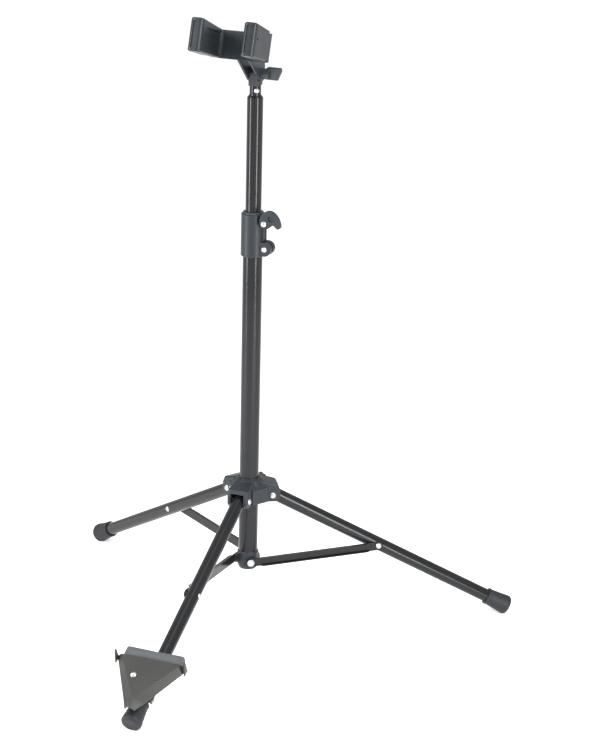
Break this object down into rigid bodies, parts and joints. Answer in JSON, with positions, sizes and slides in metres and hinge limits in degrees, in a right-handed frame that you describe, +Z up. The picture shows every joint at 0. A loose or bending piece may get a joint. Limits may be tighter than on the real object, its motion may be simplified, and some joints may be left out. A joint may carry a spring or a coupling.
{
  "type": "woodwind instrument stand",
  "caption": "Folding tripod floor stand with sliding leg hub, height clamp, tilting padded fork and a padded rest on one leg.",
  "frame": {"origin": "point on the floor below the mast, on the mast's axis", "axes": "+Z up along the mast, -Y along the leg that carries the bell rest, +X to the clamp's ears and the tilt wing nut"},
  "size_m": [0.627, 0.5471, 0.8196],
  "materials": {
    "black_tube": "gloss black powder coat",
    "cast_black": "satin dark grey cast metal",
    "sheet_grey": "satin dark grey coated sheet",
    "dark_plastic": "satin moulded plastic",
    "arm_cover": "soft-gloss moulded cover",
    "foot_rubber": "matte black rubber",
    "pad_foam": "light grey closed-cell pad",
    "bright_steel": "bright plated steel"
  },
  "bodies": {
    "mast": {"lower_tube": "black_tube", "lower_collar": "cast_black", "collar_bolts": "bright_steel", "clamp_sleeve": "cast_black", "clamp_liner": "dark_plastic", "fixing_bolt": "bright_steel", "fixing_nut": "bright_steel", "clamp_nut": "bright_steel"},
    "clamp_lever": {"clamp_lever": "cast_black", "clamp_screw": "bright_steel"},
    "hub": {"leg_hub": "cast_black", "hub_liner": "dark_plastic", "hub_rivets": "bright_steel"},
    "hub_lock": {"lock_screw": "bright_steel", "lock_knob": "dark_plastic"},
    "leg_front": {"leg_tube_front": "black_tube", "leg_rivet_front": "bright_steel", "foot_cap_front": "foot_rubber", "rest_bolt": "bright_steel", "rest_nut": "bright_steel"},
    "strut_front": {"strut_front": "black_tube", "strut_rivet_front": "bright_steel"},
    "leg_right": {"leg_tube_right": "black_tube", "leg_rivet_right": "bright_steel", "foot_cap_right": "foot_rubber"},
    "strut_right": {"strut_right": "black_tube", "strut_rivet_right": "bright_steel"},
    "leg_left": {"leg_tube_left": "black_tube", "leg_rivet_left": "bright_steel", "foot_cap_left": "foot_rubber"},
    "strut_left": {"strut_left": "black_tube", "strut_rivet_left": "bright_steel"},
    "bell_rest": {"bell_plate": "sheet_grey", "bell_pad": "pad_foam", "bell_rivet": "bright_steel"},
    "height_guide": {"guide_bush": "dark_plastic"},
    "upper_mast": {"upper_tube": "black_tube", "tilt_eye": "cast_black", "neck_rivet": "bright_steel"},
    "fork": {"yoke": "cast_black", "fork_band": "cast_black", "arm_cover_left": "arm_cover", "arm_cover_right": "arm_cover", "tilt_bolt": "bright_steel", "tilt_washer": "dark_plastic"},
    "tilt_nut": {"tilt_wing_nut": "dark_plastic"}
  },
  "joints": [
    {"name": "hub_slide", "type": "slide", "parent": "mast", "child": "hub", "axis": [0, 0, 1], "range_m": [0, 0.23935]},
    {"name": "hub_lock_turn", "type": "hinge", "parent": "hub", "child": "hub_lock", "pos_m": [0, 0.034, 0.1913], "axis": [0, 1, 0], "range_deg": [-360, 0]},
    {"name": "clamp_lever_turn", "type": "hinge", "parent": "mast", "child": "clamp_lever", "pos_m": [0.02, -0.012, 0.5513], "axis": [0, 1, 0], "range_deg": [0, 90]},
    {"name": "leg_fold_front", "type": "hinge", "parent": "hub", "child": "leg_front", "pos_m": [0, -0.03, 0.1838], "axis": [1, 0, 0], "range_deg": [0, 61.68]},
    {"name": "strut_fold_front", "type": "hinge", "parent": "mast", "child": "strut_front", "pos_m": [-0.0155, -0.002, 0.0913], "axis": [-1, 0, 0], "range_deg": [0, 75.48]},
    {"name": "leg_fold_right", "type": "hinge", "parent": "hub", "child": "leg_right", "pos_m": [0.02598, 0.015, 0.1838], "axis": [-0.5, 0.866, 0], "range_deg": [0, 61.68]},
    {"name": "strut_fold_right", "type": "hinge", "parent": "mast", "child": "strut_right", "pos_m": [0.00948, -0.01242, 0.0913], "axis": [0.5, -0.866, 0], "range_deg": [0, 75.48]},
    {"name": "leg_fold_left", "type": "hinge", "parent": "hub", "child": "leg_left", "pos_m": [-0.02598, 0.015, 0.1838], "axis": [-0.5, -0.866, 0], "range_deg": [0, 61.68]},
    {"name": "strut_fold_left", "type": "hinge", "parent": "mast", "child": "strut_left", "pos_m": [0.00602, 0.01442, 0.0913], "axis": [0.5, 0.866, 0], "range_deg": [0, 75.48]},
    {"name": "bell_rest_tilt", "type": "hinge", "parent": "leg_front", "child": "bell_rest", "pos_m": [0, -0.3163, 0.0294], "axis": [1, 0, 0], "range_deg": [0, 12]},
    {"name": "height_slide", "type": "slide", "parent": "mast", "child": "height_guide", "axis": [0, 0, 1], "range_m": [-0.12, 0.15]},
    {"name": "head_turn", "type": "hinge", "parent": "height_guide", "child": "upper_mast", "pos_m": [0, 0, 0.3283], "axis": [0, 0, 1], "continuous": true},
    {"name": "fork_tilt", "type": "hinge", "parent": "upper_mast", "child": "fork", "pos_m": [0, 0, 0.7383], "axis": [1, 0, 0], "range_deg": [-35, 45]},
    {"name": "tilt_nut_turn", "type": "hinge", "parent": "fork", "child": "tilt_nut", "pos_m": [0.02, 0, 0.7383], "axis": [1, 0, 0], "range_deg": [-360, 0]}
  ],
  "couplings": [
    {"joint": "leg_fold_front", "follows": "hub_slide", "rad_per_m": 4.4966},
    {"joint": "strut_fold_front", "follows": "hub_slide", "rad_per_m": 5.503},
    {"joint": "leg_fold_right", "follows": "hub_slide", "rad_per_m": 4.4966},
    {"joint": "strut_fold_right", "follows": "hub_slide", "rad_per_m": 5.503},
    {"joint": "leg_fold_left", "follows": "hub_slide", "rad_per_m": 4.4966},
    {"joint": "strut_fold_left", "follows": "hub_slide", "rad_per_m": 5.503}
  ]
}
